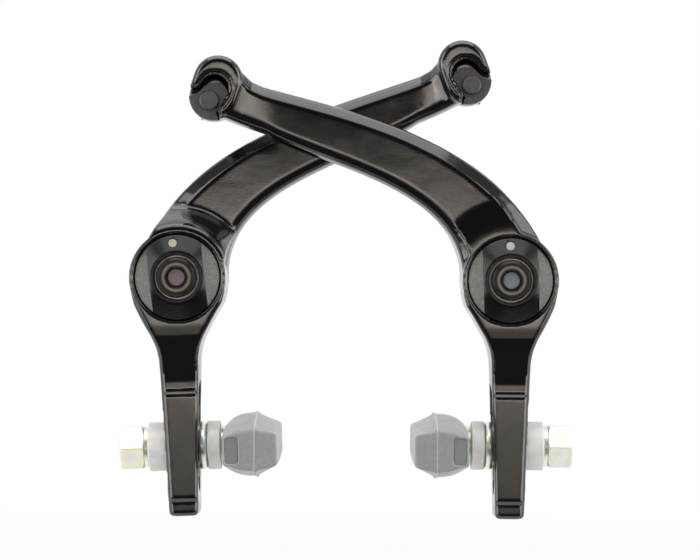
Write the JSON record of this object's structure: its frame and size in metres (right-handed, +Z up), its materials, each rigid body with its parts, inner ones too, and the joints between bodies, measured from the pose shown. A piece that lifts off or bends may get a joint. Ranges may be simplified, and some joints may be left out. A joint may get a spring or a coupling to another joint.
{
  "type": "bicycle centre-pull u-brake",
  "caption": "Crossed-arm rim brake for frame studs, with black forged arms, slotted legs, threaded-stud pads, hidden return springs and clamps for a straddle cable.",
  "frame": {"origin": "midway between the two pivot axes, in the plane of the frame's mounting faces", "axes": "+X to the rider's right, +Y from the front of the brake towards the frame and along both pivot axes, +Z up towards the cable"},
  "size_m": [0.1095, 0.05, 0.1158],
  "materials": {
    "anodised_arm": "gloss black anodised",
    "adjuster": "satin black anodised, turned",
    "black_plate": "black oxide",
    "black_screw": "black oxide, worn at the socket",
    "plain_steel": "machined",
    "spring_steel": "bright wire",
    "zinc_plate": "zinc plated, faintly yellow",
    "backing_steel": "sheared edge",
    "plain_alloy": "tumbled matte",
    "pad_rubber": "translucent grey, moulded",
    "seal": "matte",
    "plug": "plain, unmarked"
  },
  "bodies": {
    "frame_side": {"left_bushing": "plain_steel", "left_rear_seal": "seal", "left_screw_washer": "plain_steel", "left_pivot_screw": "black_screw", "left_socket_plug": "plug", "right_bushing": "plain_steel", "right_rear_seal": "seal", "right_screw_washer": "plain_steel", "right_pivot_screw": "black_screw", "right_socket_plug": "plug"},
    "left_adjuster": {"left_spring_adjuster": "adjuster", "left_return_spring": "spring_steel"},
    "right_adjuster": {"right_spring_adjuster": "adjuster", "right_return_spring": "spring_steel"},
    "front_arm": {"front_arm": "anodised_arm", "left_cable_plate": "black_plate", "left_clamp_bolt": "black_plate", "left_clamp_nut": "plain_steel"},
    "rear_arm": {"rear_arm": "anodised_arm", "right_cable_plate": "black_plate", "right_clamp_bolt": "black_plate", "right_clamp_nut": "plain_steel"},
    "left_pad": {"left_pad_stud": "zinc_plate", "left_pad_backing": "backing_steel", "left_brake_pad": "pad_rubber", "left_inner_spacer": "plain_alloy", "left_dome_washer": "zinc_plate", "left_outer_spacer": "plain_alloy", "left_flat_washer": "zinc_plate", "left_pad_nut": "zinc_plate"},
    "right_pad": {"right_pad_stud": "zinc_plate", "right_pad_backing": "backing_steel", "right_brake_pad": "pad_rubber", "right_inner_spacer": "plain_alloy", "right_dome_washer": "zinc_plate", "right_outer_spacer": "plain_alloy", "right_flat_washer": "zinc_plate", "right_pad_nut": "zinc_plate"}
  },
  "joints": [
    {"name": "front_arm_swing", "type": "hinge", "parent": "frame_side", "child": "front_arm", "pos_m": [0.04, 0, 0], "axis": [0, 1, 0], "range_deg": [-5, 10], "stiffness_Nm_per_rad": 2, "deforming": ["right_return_spring"]},
    {"name": "rear_arm_swing", "type": "hinge", "parent": "frame_side", "child": "rear_arm", "pos_m": [-0.04, 0, 0], "axis": [0, -1, 0], "range_deg": [-5, 10], "stiffness_Nm_per_rad": 2, "deforming": ["left_return_spring"]},
    {"name": "right_tension_set", "type": "hinge", "parent": "frame_side", "child": "right_adjuster", "pos_m": [0.04, 0, 0], "axis": [0, 1, 0], "range_deg": [-30, 30], "deforming": ["right_return_spring"]},
    {"name": "left_tension_set", "type": "hinge", "parent": "frame_side", "child": "left_adjuster", "pos_m": [-0.04, 0, 0], "axis": [0, -1, 0], "range_deg": [-30, 30], "deforming": ["left_return_spring"]},
    {"name": "right_pad_height", "type": "slide", "parent": "front_arm", "child": "right_pad", "axis": [0, 0, 1], "range_m": [-0.0083, 0.0087]},
    {"name": "left_pad_height", "type": "slide", "parent": "rear_arm", "child": "left_pad", "axis": [-0.0419, 0, 0.9991], "range_m": [-0.0075, 0.0095]}
  ]
}
